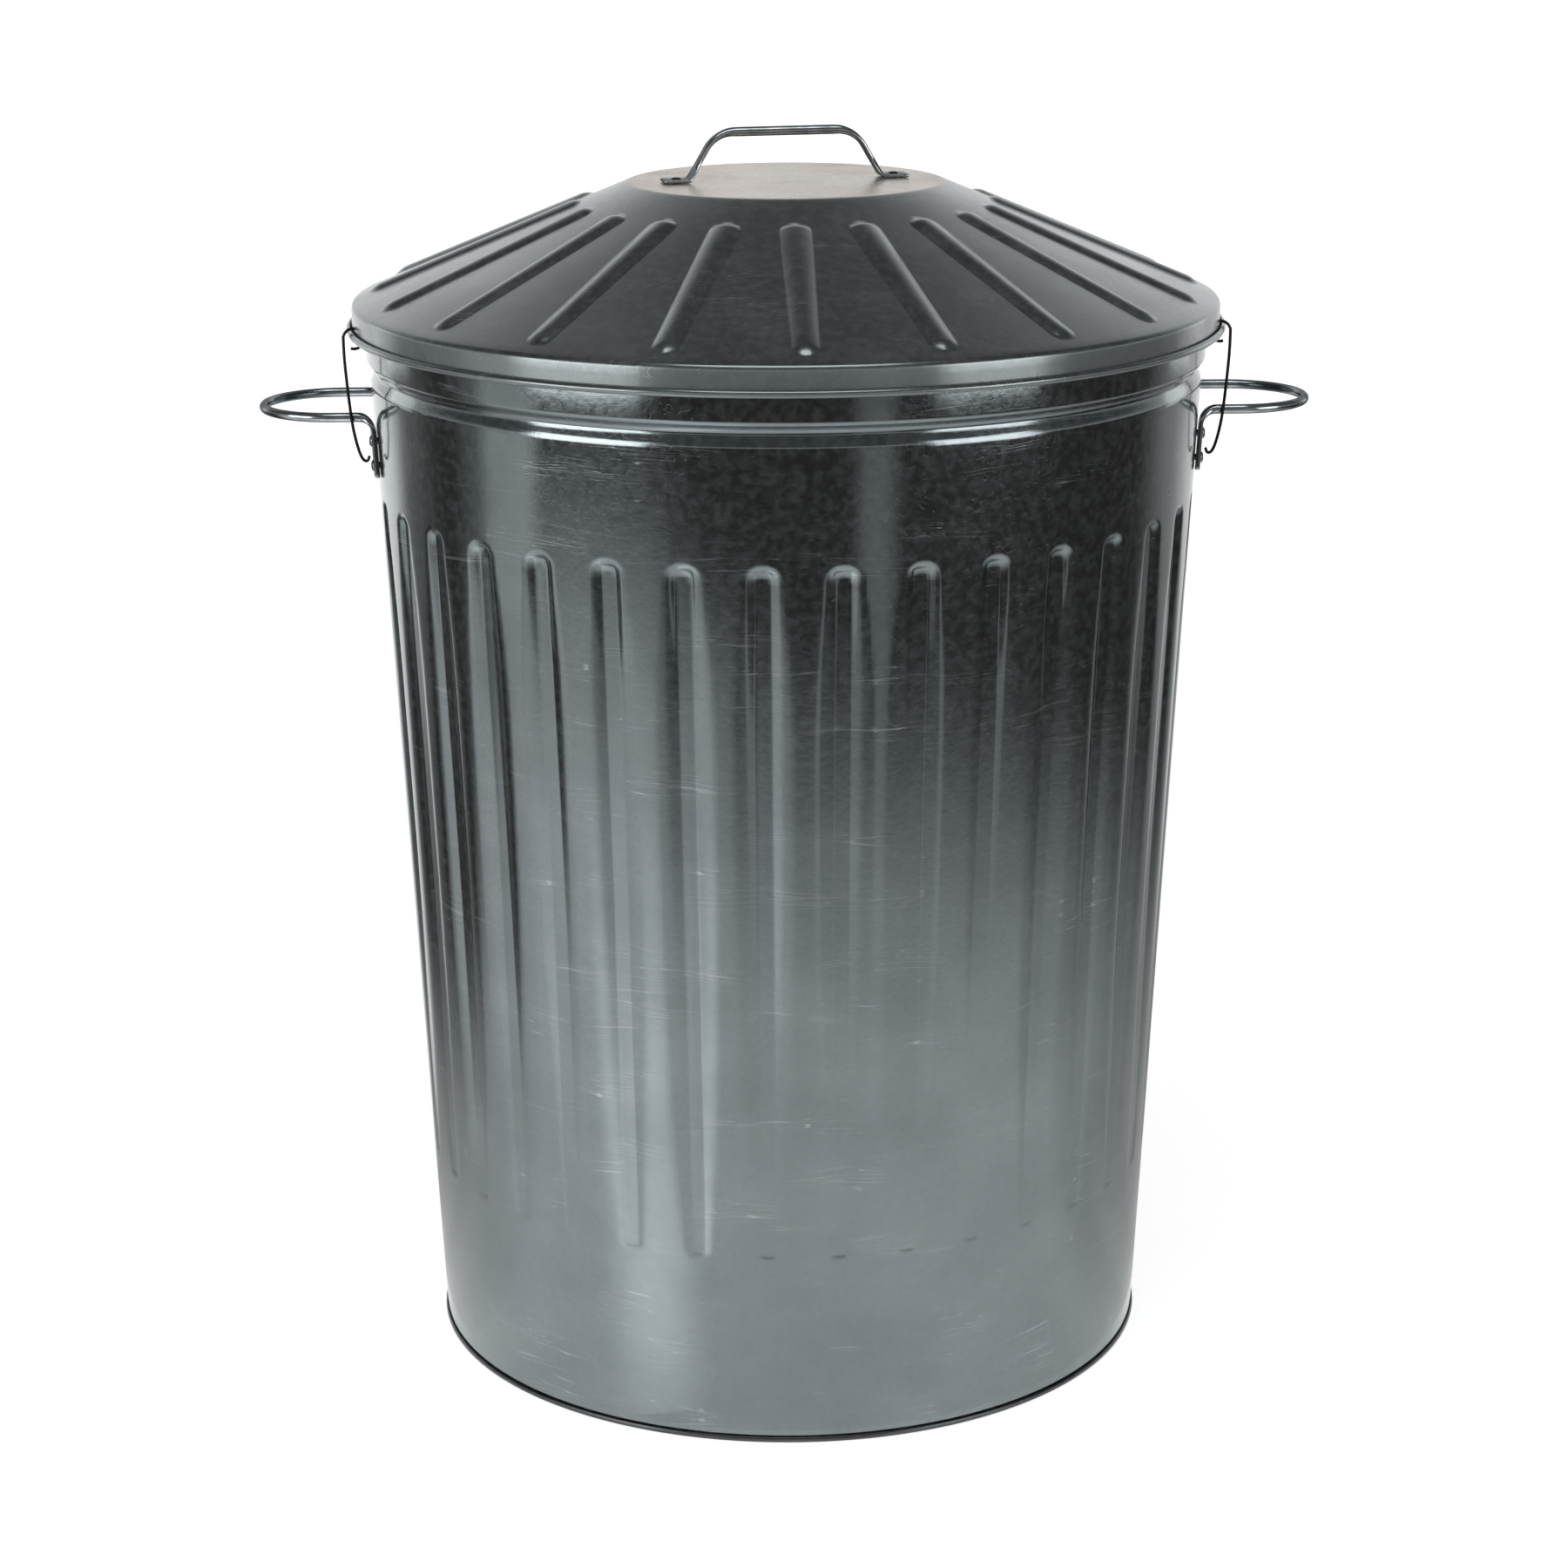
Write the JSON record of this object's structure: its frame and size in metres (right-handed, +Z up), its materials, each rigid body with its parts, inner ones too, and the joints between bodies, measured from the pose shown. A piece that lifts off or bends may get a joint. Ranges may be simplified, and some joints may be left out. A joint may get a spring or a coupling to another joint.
{
  "type": "trash can with lid",
  "caption": "Tapered galvanized steel bin with vertical flutes, riveted rod side handles and a lift-off ribbed lid that carries a rod handle and hanging wire clips.",
  "frame": {"origin": "centre of the base, on the plane the bin stands on", "axes": "+Z up through the middle of the lid; +X out through the right side handle; -Y is the front and the wall's folded seam is at +Y"},
  "size_m": [0.5818, 0.4818, 0.6852],
  "materials": {
    "sheet": "hot-dip galvanized, smooth and glossy with a fine spangle",
    "lid_sheet": "hot-dip galvanized, glossy, a little dusty on top",
    "rod": "bright galvanized drawn rod",
    "rivet": "pressed rivet heads, bright",
    "wire": "plain steel wire inside the curls",
    "clip": "dark spring wire"
  },
  "bodies": {
    "bin": {"body_wall": "sheet", "rim_wire": "wire", "base_disc": "sheet", "side_handle_right": "rod", "side_handle_left": "rod", "rivet_left_rear_upper": "rivet", "rivet_left_rear_lower": "rivet", "rivet_left_front_upper": "rivet", "rivet_left_front_lower": "rivet", "rivet_right_rear_upper": "rivet", "rivet_right_rear_lower": "rivet", "rivet_right_front_upper": "rivet", "rivet_right_front_lower": "rivet"},
    "lid": {"lid_shell": "lid_sheet", "lid_hem_wire": "wire", "lid_handle": "rod", "lid_rivet_left": "rivet", "lid_rivet_right": "rivet"},
    "lid_clip_left": {"lid_clip_left": "clip"},
    "lid_clip_right": {"lid_clip_right": "clip"}
  },
  "joints": [
    {"name": "lid_lift", "type": "slide", "parent": "bin", "child": "lid", "axis": [0, 0, 1], "range_m": [0, 0.3]},
    {"name": "lid_clip_right_swing", "type": "hinge", "parent": "lid", "child": "lid_clip_right", "pos_m": [0.2341, -0.0439, 0.5779], "axis": [0, -1, 0], "range_deg": [0, 85]},
    {"name": "lid_clip_left_swing", "type": "hinge", "parent": "lid", "child": "lid_clip_left", "pos_m": [-0.2341, -0.0439, 0.5779], "axis": [0, 1, 0], "range_deg": [0, 85]}
  ]
}
